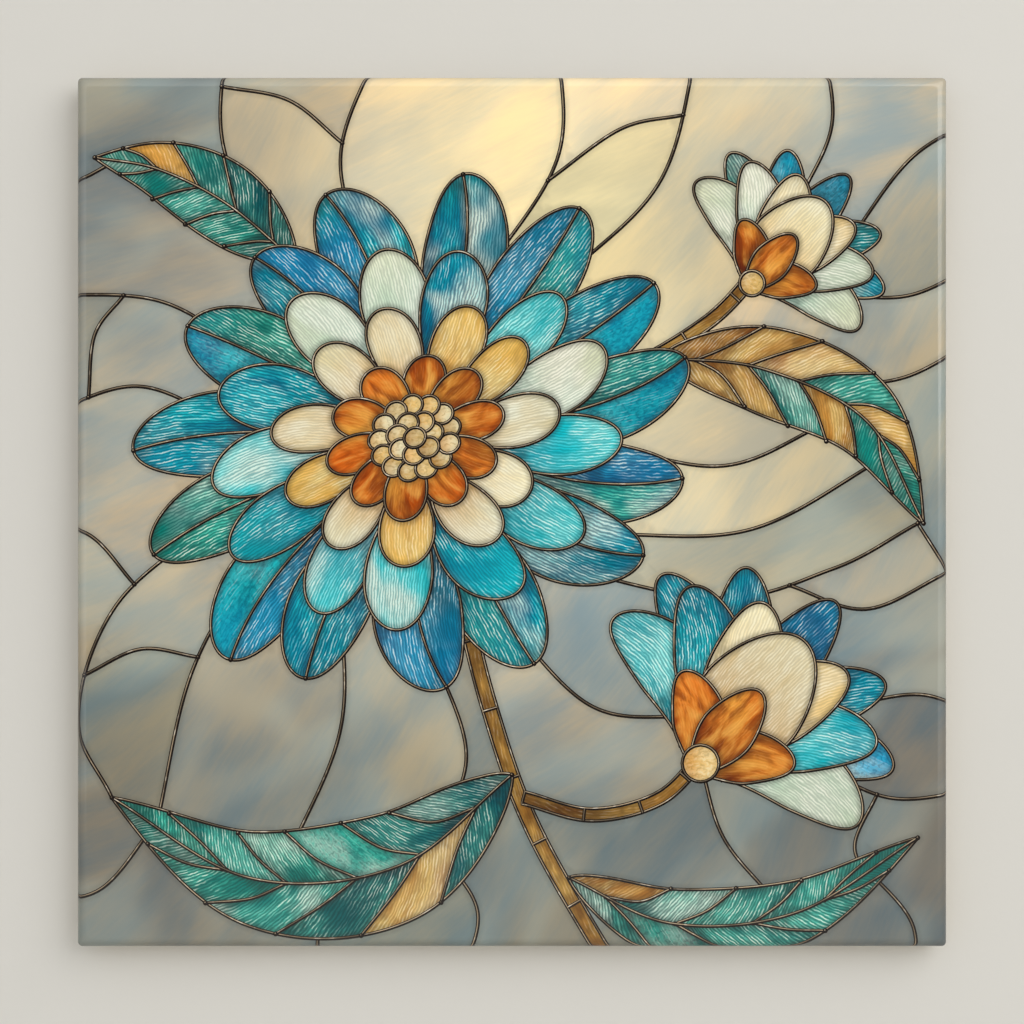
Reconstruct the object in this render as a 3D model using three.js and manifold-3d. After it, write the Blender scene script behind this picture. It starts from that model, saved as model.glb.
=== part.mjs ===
// A square decorative wall tile of pressed and glazed earthenware: a face with cushioned edges, an upright
// land round its sides that meets the next tile, a draft towards the back, and shallow square pockets in the
// back that key into the adhesive. The tile is one fired piece. Lengths are in millimetres.
import * as THREE from "three";
import { mergeVertices } from "three/addons/utils/BufferGeometryUtils.js";
import Module from "manifold-3d";

// The outside of the tile
const FACE_SIDE = 152.4;
const THICKNESS = 6.35;
const CORNER_RADIUS = 0.8;

// The cushion is the rounded edge of the face: its width is seen from the front, its drop from the side.
const CUSHION_WIDTH = 1.75;
const CUSHION_DROP = 1.5;

// Behind the land, the sides lean in towards the back, so that the tile leaves its mould.
const LAND_HEIGHT = 2.6;
const DRAFT_INSET = 0.7;
const BACK_CHAMFER = 0.5;

// The back: a flat rim, and between flat ribs a square grid of pockets with sloping walls. An even count
// puts a crossing of two ribs at the middle.
const RIM_WIDTH = 6.5;
const RIB_WIDTH = 3.2;
const POCKET_DEPTH = 0.9;
const POCKET_WALL_SLOPE = 0.45;
const POCKET_CORNER_RADIUS = 1.6;
const POCKETS_ACROSS = 8;

// How finely the round forms are cut into flats
const CUSHION_STEPS = 8;
const CORNER_STEPS = 5;
const POCKET_CORNER_STEPS = 2;
const CUTTER_OVERRUN = 1;

const BACK_SIDE = FACE_SIDE - 2 * DRAFT_INSET;
const POCKET_FIELD = BACK_SIDE - 2 * (BACK_CHAMFER + RIM_WIDTH);
const POCKET_PITCH = (POCKET_FIELD + RIB_WIDTH) / POCKETS_ACROSS;
const POCKET_SIDE = POCKET_PITCH - RIB_WIDTH;

const GLAZE = new THREE.MeshStandardMaterial({ color: 0x6f9c9a, roughness: 0.15, metalness: 0 });

const wasm = await Module();
wasm.setup();

// The outline of a square with round corners, anticlockwise and centred on x and y.
function roundedSquare(side, radius, steps) {
  const reach = side / 2 - radius;
  const outline = new THREE.Shape();
  for (let corner = 0; corner < 4; corner++) {
    const start = (corner * Math.PI) / 2;
    const x = reach * Math.sign(Math.cos(start + Math.PI / 4));
    const y = reach * Math.sign(Math.sin(start + Math.PI / 4));
    outline.absarc(x, y, radius, start, start + Math.PI / 2, false);
  }
  // Each arc gives steps + 1 points. The straight sides are the gaps between them.
  return outline.curves
    .filter((curve) => curve.isEllipseCurve)
    .flatMap((arc) => arc.getPoints(steps));
}

// A closed mesh skinned over a stack of sections, from the lowest z to the highest.
function stackOfSections(sections) {
  const rings = sections.map(({ side, radius, steps, z }) =>
    roundedSquare(side, radius, steps).map((p) => new THREE.Vector3(p.x, p.y, z)),
  );
  const count = rings[0].length;
  const triangles = [];
  for (let level = 0; level + 1 < rings.length; level++) {
    for (let i = 0; i < count; i++) {
      const next = (i + 1) % count;
      const low = level * count;
      const high = low + count;
      triangles.push(low + i, low + next, high + next, low + i, high + next, high + i);
    }
  }
  const cap = THREE.ShapeUtils.triangulateShape(roundedSquare(sections[0].side, sections[0].radius,
    sections[0].steps), []);
  const top = (rings.length - 1) * count;
  for (const [a, b, c] of cap) {
    triangles.push(c, b, a, top + a, top + b, top + c);
  }
  return new THREE.BufferGeometry().setFromPoints(rings.flat()).setIndex(triangles);
}

function toSolid(geometry) {
  const merged = mergeVertices(geometry);
  return new wasm.Manifold(
    new wasm.Mesh({
      numProp: 3,
      vertProperties: new Float32Array(merged.attributes.position.array),
      triVerts: new Uint32Array(merged.index.array),
    }),
  );
}

function toGeometry(solid) {
  const mesh = solid.getMesh();
  return new THREE.BufferGeometry()
    .setAttribute("position", new THREE.BufferAttribute(mesh.vertProperties, 3))
    .setIndex(new THREE.BufferAttribute(mesh.triVerts, 1));
}

// The pressed blank, with its back at z = 0 and its face towards +z.
function blank() {
  const landTop = THICKNESS - CUSHION_DROP;
  const section = (inset, z) => ({
    side: FACE_SIDE - 2 * inset,
    radius: CORNER_RADIUS,
    steps: CORNER_STEPS,
    z,
  });
  const sections = [
    section(DRAFT_INSET + BACK_CHAMFER, 0),
    section(DRAFT_INSET, BACK_CHAMFER),
    section(0, landTop - LAND_HEIGHT),
  ];
  for (let step = 0; step <= CUSHION_STEPS; step++) {
    const turn = (step / CUSHION_STEPS) * (Math.PI / 2);
    sections.push(
      section(CUSHION_WIDTH * (1 - Math.cos(turn)), landTop + CUSHION_DROP * Math.sin(turn)),
    );
  }
  return toSolid(stackOfSections(sections));
}

// One cutter for a pocket, wide at the mouth and narrow at the floor, and carried on past the back.
function pocketCutter() {
  const section = (z) => ({
    side: POCKET_SIDE - 2 * POCKET_WALL_SLOPE * (z / POCKET_DEPTH),
    radius: POCKET_CORNER_RADIUS,
    steps: POCKET_CORNER_STEPS,
    z,
  });
  return toSolid(stackOfSections([section(-CUTTER_OVERRUN), section(POCKET_DEPTH)]));
}

function backPockets() {
  const cutter = pocketCutter();
  const place = (index) => (index - (POCKETS_ACROSS - 1) / 2) * POCKET_PITCH;
  const pockets = [];
  for (let column = 0; column < POCKETS_ACROSS; column++) {
    for (let row = 0; row < POCKETS_ACROSS; row++) {
      pockets.push(cutter.translate(place(column), place(row), 0));
    }
  }
  return wasm.Manifold.union(pockets);
}

const tile = new THREE.Mesh(toGeometry(blank().subtract(backPockets())), GLAZE);
tile.name = "tile";
// It is used upright: the face looks along -Y, +Z is its top edge, and the origin is the middle of its back.
tile.rotation.x = Math.PI / 2;

const part = new THREE.Group();
part.add(tile);

export default part;
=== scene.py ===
"""A square picture tile of glazed earthenware, seen from straight in front.

Its picture shows a blossom with two smaller ones, stems and leaves, in the manner of leaded glass. The
picture is drawn flat in millimetres, cut into panes and lead lines, and wrapped over the cushioned edge.
"""

import math
import random
from dataclasses import dataclass

import bpy
import numpy as np
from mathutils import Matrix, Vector
from mathutils.geometry import delaunay_2d_cdt
from mathutils.kdtree import KDTree


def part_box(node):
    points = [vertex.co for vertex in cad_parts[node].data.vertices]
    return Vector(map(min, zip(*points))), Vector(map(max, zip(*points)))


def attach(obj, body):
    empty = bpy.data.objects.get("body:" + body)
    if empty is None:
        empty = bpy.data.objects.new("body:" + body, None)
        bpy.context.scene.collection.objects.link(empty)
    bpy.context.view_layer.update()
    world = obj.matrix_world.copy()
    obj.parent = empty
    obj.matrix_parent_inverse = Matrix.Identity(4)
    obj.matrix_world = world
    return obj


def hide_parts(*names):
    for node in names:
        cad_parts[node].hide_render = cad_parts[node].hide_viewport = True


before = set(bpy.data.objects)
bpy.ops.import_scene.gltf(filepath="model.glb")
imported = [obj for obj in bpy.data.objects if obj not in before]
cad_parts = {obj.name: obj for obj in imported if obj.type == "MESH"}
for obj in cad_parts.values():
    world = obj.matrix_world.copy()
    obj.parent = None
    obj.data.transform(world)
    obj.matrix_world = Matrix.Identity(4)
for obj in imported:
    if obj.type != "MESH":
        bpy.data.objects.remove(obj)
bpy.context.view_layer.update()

MM = 0.001

# The body, in millimetres, from the middle of its back
LOW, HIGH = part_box("tile")
HALF_SIDE = (HIGH.x - LOW.x) / 2 / MM
THICKNESS = (HIGH.y - LOW.y) / MM
CORNER_RADIUS = 0.8
CUSHION_WIDTH = 1.75
CUSHION_DROP = 1.5
LAND_HEIGHT = 2.6
DRAFT_INSET = 0.7
BACK_CHAMFER = 0.5
RIM_WIDTH = 6.5
RIB_WIDTH = 3.2
POCKETS_ACROSS = 8
POCKET_DEPTH = 0.9
POCKET_WALL_SLOPE = 0.45
POCKET_CORNER_RADIUS = 1.6
POCKET_WELD = 0.004

# The glaze turns down at the cushion with a faint line, laps over the land and ends in a soft, wavy lip.
# Its skin is closed underneath at the glaze depth, with small gaps between it and the clay.
GLAZE_THICKNESS = 0.14
GLAZE_LAP = 1.2
LIP_WAVE = 0.16
LIP_WAVES = ((9, 1.0, 1), (23, 0.6, 0), (41, 0.4, 2))
GLAZE_DEPTH = CUSHION_DROP + 0.2
GAP_BESIDE = 0.02
GAP_BELOW = 0.03
CUSHION_START = 0.09
START_ROUNDING = 0.12
CUSHION_STEPS = 9
# How much darker the picture is painted over the cushion, as painted shade at the edge
RIM_SHADE = 0.34

FLAT_HALF = HALF_SIDE - CUSHION_WIDTH
CUSHION_ARC = math.pi / 2 * math.sqrt((CUSHION_WIDTH**2 + CUSHION_DROP**2) / 2)
ARRIS_HALF = FLAT_HALF + CUSHION_ARC
SKIN_HALF = ARRIS_HALF + GLAZE_LAP
SKIN_PIECES = 116
BODY_PIECES = 58
CORNER_STEPS = 6

# The picture
LEAD_WIDTH = 0.62
GROUND_LEAD_WIDTH = 0.7
GROUND_LEAD_BRIGHT = 0.7
SOLDER_RADIUS = 0.45
SOLDER_BRIGHT = 0.9
POINT_STEP = 1.3
BEND_STEP = math.radians(11)
SHADE_STEP = 1.8
SAME_POINT = 1e-4
STEM_PIECE = 13.0
SEED_RADIUS = 1.95
SEED_RINGS = ((6.4, 13), (3.2, 7), (0.0, 1))
BLOOM = np.array([-17.0, 13.0])
BLOOM_TILT = 30.0
BLOOM_SQUASH = 0.88
LIT_FROM = np.array([-0.55, 0.835])
CROWN_SHIFT = 0.32

# Where a leaf is fullest, where its first vein leaves the midrib, how far along the others are spread, how
# far forward each one reaches, all as shares of the leaf's length, and how much it bends
LEAF_FULLEST = 0.42
FIRST_VEIN = 0.10
VEIN_SPREAD = 0.62
VEIN_REACH = 0.17
VEIN_BEND = 0.42


def colour(red, green, blue):
    """A colour given as it looks on a screen, in linear light."""
    shares = np.array([red, green, blue]) / 255
    return np.where(shares <= 0.04045, shares / 12.92, ((shares + 0.055) / 1.055) ** 2.4)


@dataclass
class Glass:
    """A kind of glass: its colour where a pane starts and where it ends, the colour of its streaks, how
    rippled, cloudy and mottled it is, and how often pebbles take the place of its ripples."""

    root: np.ndarray
    tip: np.ndarray
    streak: np.ndarray
    ripple: float = 0.0
    cloud: float = 0.0
    mottle: float = 0.0
    pebbles: float = 0.0


GLASSES = {
    "blue petal": Glass(colour(2, 52, 98), colour(6, 122, 172), colour(60, 196, 236), 0.9, 0.4, 0, 0.5),
    "deep petal": Glass(colour(1, 58, 92), colour(2, 136, 168), colour(40, 224, 232), 1.0, 0.4, 0, 0.15),
    "green petal": Glass(colour(2, 66, 72), colour(8, 140, 126), colour(90, 230, 200), 1.0, 0.3, 0, 0.15),
    "bright petal": Glass(colour(2, 118, 146), colour(24, 220, 226), colour(160, 255, 250), 0.95, 0.6),
    "pale petal": Glass(colour(84, 194, 190), colour(238, 242, 206), colour(255, 252, 232), 0.7, 0.6),
    "cream petal": Glass(colour(230, 168, 84), colour(255, 240, 190), colour(255, 250, 222), 0.5, 0.2),
    "gold petal": Glass(colour(200, 112, 26), colour(255, 202, 96), colour(255, 242, 176), 0.6, 0.0, 0.4),
    "amber petal": Glass(colour(100, 16, 2), colour(226, 98, 12), colour(255, 180, 72), 0.2, 0.0, 1.0),
    "gold seed": Glass(colour(222, 158, 70), colour(255, 214, 130), colour(255, 248, 210), 0, 0, 0, 1),
    "leaf": Glass(colour(2, 70, 84), colour(12, 142, 130), colour(110, 230, 204), 0.95, 0.3),
    "gold leaf": Glass(colour(158, 84, 20), colour(232, 166, 70), colour(255, 228, 146), 0.6, 0.1, 0.3),
    "stem": Glass(colour(116, 70, 20), colour(188, 132, 52), colour(238, 192, 102), 0.4, 0.0, 0.5),
}
OUTER_GLASSES = ("deep petal", "deep petal", "blue petal", "green petal")
INNER_GLASSES = ("bright petal", "bright petal", "pale petal", "deep petal")
CENTRE_GLASSES = ("cream petal", "cream petal", "gold petal")
LEAF_GLASSES = ("leaf", "leaf", "leaf", "green petal", "gold leaf")

# The opalescent ground: its colours from the glow outwards, and its broad areas with their reach
GROUND_STOPS = (
    (0.00, colour(255, 242, 188)),
    (0.22, colour(255, 230, 166)),
    (0.44, colour(250, 216, 158)),
    (0.64, colour(208, 190, 152)),
    (0.84, colour(164, 162, 143)),
    (1.05, colour(134, 140, 131)),
    (1.40, colour(104, 115, 114)),
)
BROAD_AREAS = (
    ((-56, 12), 36, colour(226, 202, 162)),
    ((60, 66), 26, colour(218, 198, 164)),
    ((74, 20), 42, colour(148, 148, 130)),
    ((-72, 58), 44, colour(86, 110, 124)),
    ((-68, -62), 34, colour(124, 111, 96)),
    ((-30, -72), 26, colour(120, 148, 150)),
    ((12, -66), 26, colour(132, 140, 130)),
    ((70, -58), 44, colour(92, 111, 120)),
)
COOL_CAST = colour(130, 157, 168)
WARM_CAST = colour(210, 184, 144)
PANE_CASTS = (colour(118, 154, 172), colour(140, 164, 146), colour(176, 150, 128), colour(196, 180, 144))
WHITE_GLAZE = colour(236, 232, 220)

# How far the glow reaches, how strongly the broad areas draw the ground to their colours, and its cool and
# warm streaks, as a share and a level
GLOW = np.array([12.0, 48.0])
GLOW_LEFT, GLOW_RIGHT, GLOW_UP = 118, 86, 108
AREA_PULL = 0.7
COOL_SHARE, COOL_LEVEL = 0.6, 0.86
WARM_SHARE, WARM_LEVEL = 0.5, 1.14
GROUND_CLOUD = 0.14
GROUND_GRAIN = 0.46

# What the paint gives as the distance to lead far from it and on it, how far apart the grain of two panes
# may start, the step to which a pane's place is rounded to seed its colours, and the slant of the grain in
# leaves
FAR_FROM_LEAD = 3.0
ON_LEAD = -1.0
GRAIN_SPREAD = 900
PLACE_STEP = 3
LEAF_SLANT = 0.71

# The map for baking holds the unrolled face with a margin, and a strip beside it for the underside
MAP_MARGIN = 1.2
STRIP_ROOM = 6
STRIP_HALF = 1.8
MAP_EDGE = 0.005

# The lines of the ground, from under the motifs or from another line outwards
MEETING_REACH = 5.0
GROUND_LINES = (
    ((-6, 40), (8, 62), (8, 84)),
    ((8, 40), (26, 58), (33, 84)),
    ((7, 58), (19, 67), (30, 70)),
    ((-24, 40), (-30, 62), (-22, 84)),
    ((-36, 36), (-50, 62), (-50, 84)),
    ((-29, 64), (-39, 72), (-51, 74)),
    ((50, 54), (56, 68), (54, 84)),
    ((58, 46), (70, 62), (84, 70)),
    ((56, 38), (70, 38), (84, 45)),
    ((58, 22), (70, 24), (84, 32)),
    ((10, 14), (36, 8), (56, 16)),
    ((16, -4), (42, -3), (66, 10)),
    ((-4, -6), (34, -15), (56, -10), (71, -2)),
    ((70, 0), (76, -10), (84, -24)),
    ((48, -12), (62, -17), (76, -11)),
    ((-2, -18), (14, -34), (32, -36)),
    ((33, -44), (37, -57), (46, -68)),
    ((50, -42), (66, -50), (84, -48)),
    ((58, -34), (72, -32), (84, -37)),
    ((64, -50), (60, -58), (62, -64)),
    ((-14, -58), (-6, -70), (-10, -84)),
    ((-40, -62), (-34, -74), (-38, -84)),
    ((58, -62), (70, -72), (70, -84)),
    ((-62, -54), (-72, -66), (-84, -68)),
    ((-16, -20), (-8, -42), (-16, -60)),
    ((-30, -14), (-30, -38), (-42, -60)),
    ((-44, -6), (-56, -28), (-58, -56)),
    ((-50, 0), (-69, -16), (-76, -36), (-70, -50)),
    ((-66, -12), (-74, -4), (-84, -2)),
    ((-55, -26), (-65, -24), (-74, -29)),
    ((-50, 16), (-66, 22), (-84, 16)),
    ((-46, 28), (-62, 37), (-84, 38)),
    ((-68, 38), (-73, 31), (-74, 20)),
    ((-70, 61), (-77, 58), (-84, 61)),
)


# Lines and outlines in the plane


def unit(vectors):
    return vectors / np.maximum(np.linalg.norm(vectors, axis=-1, keepdims=True), 1e-9)


def turned(points, degrees):
    turn = math.radians(degrees)
    return points @ np.array([[math.cos(turn), math.sin(turn)], [-math.sin(turn), math.cos(turn)]])


def polar(radii, degrees):
    turns = np.radians(degrees)
    return np.stack([radii * np.cos(turns), radii * np.sin(turns)], 1)


def circle(radius, sides):
    return polar(np.full(sides, radius), np.arange(sides) * (360 / sides))


def four_sides(side):
    """A side of a square with its copies, anticlockwise."""
    return np.vstack([turned(side, 90 * k) for k in range(4)])


def smooth(share):
    share = np.clip(share, 0, 1)
    return share * share * (3 - 2 * share)


def evened(points, closed=False):
    """The same line with new points, closer together where it bends."""
    line = np.vstack([points, points[:1]]) if closed else np.asarray(points, float)
    steps = np.diff(line, axis=0)
    bearings = np.unwrap(np.arctan2(steps[:, 1], steps[:, 0]))
    bends = np.abs(np.gradient(bearings)) if len(bearings) > 1 else np.zeros(1)
    pace = np.linalg.norm(steps, axis=1) / POINT_STEP + np.minimum(bends, 1.5) / BEND_STEP
    along = np.concatenate([[0.0], np.cumsum(pace)])
    places = np.linspace(0, along[-1], max(3, round(along[-1])) + 1)
    new = np.stack([np.interp(places, along, line[:, axis]) for axis in (0, 1)], 1)
    return new[:-1] if closed else new


def through(*knots):
    """A smooth line through a few points."""
    inner = np.array(knots, float)
    p = np.vstack([2 * inner[0] - inner[1], inner, 2 * inner[-1] - inner[-2]])
    t = np.linspace(0, 1, 24, endpoint=False)[:, None]
    spans = [
        0.5 * (2 * b + (c - a) * t + (2 * a - 5 * b + 4 * c - d) * t**2 + (3 * b - a - 3 * c + d) * t**3)
        for a, b, c, d in zip(p[:-3], p[1:-2], p[2:-1], p[3:])
    ]
    return evened(np.vstack(spans + [inner[-1:]]))


def left_of(line, closed=False):
    """Unit vectors to the left of a line's direction."""
    if closed:
        ahead = np.roll(line, -1, axis=0) - np.roll(line, 1, axis=0)
    else:
        ahead = np.gradient(line, axis=0)
    ahead = unit(ahead)
    return np.stack([-ahead[:, 1], ahead[:, 0]], 1)


def measured(line, points, closed=False):
    """For each point: its distance to the line, how far along the line it is, on which side it lies (1 for
    the left) and how squarely that stretch of line faces the light."""
    ends = np.roll(line, -1, axis=0) if closed else line[1:]
    starts = line if closed else line[:-1]
    lengths = np.linalg.norm(ends - starts, axis=1)
    passed = np.concatenate([[0.0], np.cumsum(lengths)[:-1]])
    distance = np.full(len(points), np.inf)
    along, side, lit = np.zeros((3, len(points)))
    for start, end, length, before in zip(starts, ends, lengths, passed):
        if length < 1e-9:
            continue
        run = (end - start) / length
        to = points - start
        share = np.clip(to @ run, 0, length)
        off = to - share[:, None] * run
        far = np.hypot(off[:, 0], off[:, 1])
        nearer = far < distance
        distance[nearer] = far[nearer]
        along[nearer] = (before + share)[nearer]
        side[nearer] = np.sign(run[0] * to[:, 1] - run[1] * to[:, 0])[nearer]
        lit[nearer] = np.array([-run[1], run[0]]) @ LIT_FROM
    return distance, along, side, lit


def moved_in(outline, distance):
    """A closed outline moved inwards, or outwards if the distance is negative, without the loops that
    this makes at tight corners."""
    moved = outline + distance * left_of(outline, True)
    return moved[measured(outline, moved, True)[0] > abs(distance) * 0.97]


def along_line(line, shares):
    """The points at some shares of a line's length."""
    along = np.concatenate([[0.0], np.cumsum(np.linalg.norm(np.diff(line, axis=0), axis=1))])
    return np.stack([np.interp(shares * along[-1], along, line[:, axis]) for axis in (0, 1)], 1)


def around(spine, half_width):
    """The closed outline round a spine, anticlockwise, from its half width at each share of the length."""
    shares = (1 - np.cos(np.linspace(0, math.pi, 90))) / 2
    middle = along_line(spine, shares)
    wide = half_width(shares)[:, None] * along_line(left_of(spine), shares)
    loop = np.vstack([middle - wide, (middle + wide)[::-1]])
    apart = np.linalg.norm(loop - np.roll(loop, 1, axis=0), axis=1) > 1e-3
    return evened(loop[apart], closed=True)


def petal_width(width, waist=0.3, fullest=0.6, blunt=2.2):
    """Half the width of a petal at each share of its length."""

    def half(share):
        swell = waist + (1 - waist) * np.sin(np.minimum(share / fullest, 1) * math.pi / 2)
        past = np.clip((share - fullest) / (1 - fullest), 0, 1)
        return width / 2 * swell * np.sqrt(np.maximum(1 - past**blunt, 0))

    return half


def leaf_width(width):
    """Half the width of a leaf at each share of its length, pointed at both ends."""
    power = math.log(0.5) / math.log(LEAF_FULLEST)

    def half(share):
        return width / 2 * np.sin(math.pi * share**power) ** 0.9

    return half


# The picture's shapes, drawn from the back to the front


@dataclass
class Shape:
    """A pane with lead round it, an open lead line, or a spot of solder. Of a pane, line is the closed
    outline, spine the direction of its grain and glasses the kinds of glass that it may be of."""

    kind: str
    line: np.ndarray
    spine: np.ndarray = None
    glasses: tuple = ()
    lead: float = LEAD_WIDTH


def lead_line(line, lead=LEAD_WIDTH):
    """A lead line with a spot of solder at each end."""
    return [Shape("line", line, lead=lead), Shape("solder", line[:1]), Shape("solder", line[-1:])]


def petal(spine, width, *glasses, **form):
    return Shape("pane", around(spine, petal_width(width, **form)), spine, glasses)


def met(knot, lines):
    """The nearest point of the lines drawn before, or the knot itself where none is near."""
    if not lines:
        return knot
    points = np.vstack(lines)
    distances = np.linalg.norm(points - knot, axis=1)
    nearest = distances.argmin()
    return points[nearest] if distances[nearest] < MEETING_REACH else knot


def ground_lines():
    """The flowing lines of the ground. A line that ends near one before it meets it there."""
    shapes, drawn = [], []
    for first, *middle, last in GROUND_LINES:
        line = through(met(first, drawn), *middle, met(last, drawn))
        drawn.append(line)
        shapes += lead_line(line[np.abs(line).max(axis=1) < SKIN_HALF + 2], GROUND_LEAD_WIDTH)
    return shapes


def stem(knots, width=2.6):
    """A slender stem, cut across by a lead line every so often."""
    spine = through(*knots)
    shapes = [Shape("pane", around(spine, lambda share: np.full(len(share), width / 2)), spine, ("stem",))]
    left = left_of(spine) * width / 2
    every = round(STEM_PIECE / POINT_STEP)
    for k in range(every, len(spine) - 3, every):
        shapes.append(Shape("line", evened(np.array([spine[k] - left[k], spine[k] + left[k]]))))
    return shapes


def leaf(knots, width, veins=5):
    """A pointed leaf with a midrib and veins that run forward to its edges."""
    spine = through(*knots)
    outline = leaf_width(width)
    shapes = [Shape("pane", around(spine, outline), spine, LEAF_GLASSES)]
    half = outline(np.linspace(0, 1, len(spine)))[:, None] * left_of(spine)
    for k in range(veins):
        share = FIRST_VEIN + VEIN_SPREAD * k / (veins - 1)
        start, end = (round(place * (len(spine) - 1)) for place in (share, share + VEIN_REACH))
        middle = (start + end) // 2
        for side in (-1, 1):
            bend = spine[middle] + side * VEIN_BEND * half[middle]
            shapes += lead_line(through(spine[start], bend, spine[end] + side * half[end]))
    return shapes + lead_line(spine)


def half_open(base, axis, size):
    """A bloom seen from the side. Its petals fan out from the base, the outer ones drawn first. Of each
    fan: its glasses, the petals' length and width as shares of the size, and how far each one leans."""
    fans = (
        (OUTER_GLASSES, 0.97, 0.31, (-52, 52, -27, 27, 0)),
        (INNER_GLASSES, 0.88, 0.34, (-72, 72, -44, 44)),
        (CENTRE_GLASSES, 0.82, 0.34, (-19, 19)),
    )
    shapes = []
    share = np.linspace(0, 1, 30)
    for glasses, length, width, leans in fans:
        for lean in leans:
            reach = size * length * (1 - 0.12 * abs(lean) / 70)
            spine = base + polar(reach * share, axis + lean * (0.45 + 0.55 * share))
            shapes.append(petal(spine, size * width, *glasses, waist=0.35, fullest=0.56, blunt=1.6))
    heart = base + polar(size * 0.74 * share, np.full(30, axis))
    shapes.append(petal(heart, size * 0.5, "cream petal", waist=0.5, fullest=0.48, blunt=1.6))
    for lean in (-52, 52, 0):
        sepal = base + polar(size * 0.43 * share, axis + lean * (0.6 + 0.4 * share))
        shapes.append(petal(sepal, size * 0.25, "amber petal", waist=0.5, fullest=0.45, blunt=1.5))
    knob = base + circle(size * 0.085, 20)
    shapes.append(Shape("pane", evened(knob, closed=True), knob[[10, 0]], ("gold seed",)))
    return shapes


def ring_of_petals(draw, count, glasses, near, far, width, first, bend, ribbed, **form):
    """One ring of the open bloom. The petals nearest the foot of the picture lie over the others."""
    petals = []
    share = np.linspace(0, 1, 30)
    for k in range(count):
        angle = first + 360 * k / count + draw.uniform(-2.5, 2.5)
        reach = near + (far - near) * draw.uniform(0.93, 1.04)
        spine = polar(near + (reach - near) * share, angle + bend * draw.uniform(0.3, 1.6) * share**2)
        made = petal(spine, width * draw.uniform(0.94, 1.08), *glasses, **form)
        made.line, made.spine = (seen_aslant(part) for part in (made.line, made.spine))
        petals.append([made] + (lead_line(made.spine) if ribbed else []))
    petals.sort(key=lambda group: -group[0].spine[-1][1])
    return [shape for group in petals for shape in group]


def seen_aslant(points):
    """The open bloom's points, squashed a little as it leans away and put in their place."""
    flat = turned(points, -BLOOM_TILT) * [1, BLOOM_SQUASH]
    return BLOOM + turned(flat, BLOOM_TILT)


def seeds():
    """The heart of the open bloom: rings of small round panes."""
    shapes = []
    for radius, count in SEED_RINGS:
        for k in range(count):
            middle = polar(np.array([radius]), np.array([360 * (k + radius / 12) / count]))
            outline = seen_aslant(circle(SEED_RADIUS, 18) + middle)
            shapes.append(Shape("pane", outline, outline[[9, 0]], ("gold seed",)))
    return shapes


def picture():
    """All the shapes. Places and widths are in millimetres from the middle, angles in degrees."""
    draw = random.Random(11)
    shapes = ground_lines()
    shapes += stem([(-10, -10), (-4, -34), (4, -56), (20, -84)])
    shapes += stem([(2, -50), (14, -53), (26, -50), (34, -42)], 2.2)
    shapes += stem([(-4, 18), (18, 24), (34, 33), (43, 42)], 2.2)
    shapes += leaf([(0, -46), (-20, -62), (-46, -64), (-70, -50)], 20)
    shapes += leaf([(10, -64), (28, -72), (50, -70), (71, -57)], 13, 4)
    shapes += leaf([(26, 27), (44, 25), (62, 16), (72, -2)], 16)
    shapes += leaf([(-38, 44), (-50, 54), (-62, 60), (-73, 62)], 14, 4)
    shapes += half_open(np.array([33.0, -44.0]), 50, 38)
    shapes += half_open(np.array([42.0, 40.0]), 48, 26)
    for count, glasses, form in (
        (15, OUTER_GLASSES, dict(near=16, far=50, width=16, first=6, bend=6, blunt=1.8, fullest=0.55)),
        (13, INNER_GLASSES, dict(near=12, far=37, width=12, first=18, bend=7, blunt=1.9)),
        (11, CENTRE_GLASSES, dict(near=8, far=25.5, width=9.4, first=4, bend=8)),
        (10, ("amber petal",), dict(near=3, far=15.8, width=7.2, first=12, bend=4)),
    ):
        shapes += ring_of_petals(draw, count, glasses, ribbed=glasses == OUTER_GLASSES, **form)
    return shapes + seeds()


# The face of the tile, unrolled flat: squares with round corners, one inside the other


def rounded_square(half, pieces):
    """The outline of a square with round corners, anticlockwise, with its sides in equal pieces."""
    core = half - CORNER_RADIUS
    turns = np.linspace(0, 90, CORNER_STEPS + 1)
    corner = polar(np.full(len(turns), CORNER_RADIUS), turns) + core
    straight = np.linspace(core, -core, pieces + 1)[1:-1]
    return four_sides(np.vstack([corner, np.stack([straight, np.full(len(straight), half)], 1)]))


def half_through(points):
    """Half the side of the rounded square on which each point lies."""
    a, b = np.abs(points).T
    high, gap = np.maximum(a, b), np.abs(a - b)
    core = (a + b - np.sqrt(np.maximum(2 * CORNER_RADIUS**2 - gap**2, 0))) / 2
    return np.where(gap < CORNER_RADIUS, core + CORNER_RADIUS, high)


def resized(points, half, new_half):
    """The points moved from one rounded square to another with the same corner radius."""
    core = np.maximum(half - CORNER_RADIUS, 1e-6)[:, None]
    inner = np.clip(points, -core, core)
    return inner * (new_half[:, None] - CORNER_RADIUS) / core + points - inner


def wrapped(points):
    """Points of the flat plan laid over the tile: across, depth from the back and up, in metres."""
    half = half_through(points)
    beyond = np.maximum(half - FLAT_HALF, 0)
    turn = np.minimum(beyond / CUSHION_ARC, 1) * math.pi / 2
    lap = np.maximum(beyond - CUSHION_ARC, 0)
    bearing = np.arctan2(points[:, 1], points[:, 0])
    wave = sum(size * np.sin(waves * bearing + start) for waves, size, start in LIP_WAVES)
    sloped = CUSHION_START * np.sin(turn) + (1 - CUSHION_START) * (1 - np.cos(turn))
    drop = CUSHION_DROP * sloped + lap * (1 + LIP_WAVE * wave)
    new_half = np.minimum(half, FLAT_HALF) + CUSHION_WIDTH * np.sin(turn)
    flat = np.where((beyond > 0)[:, None], resized(points, half, new_half), points)
    return np.stack([flat[:, 0], drop - THICKNESS, flat[:, 1]], 1) * MM


# Cutting the face into panes and lead


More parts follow.
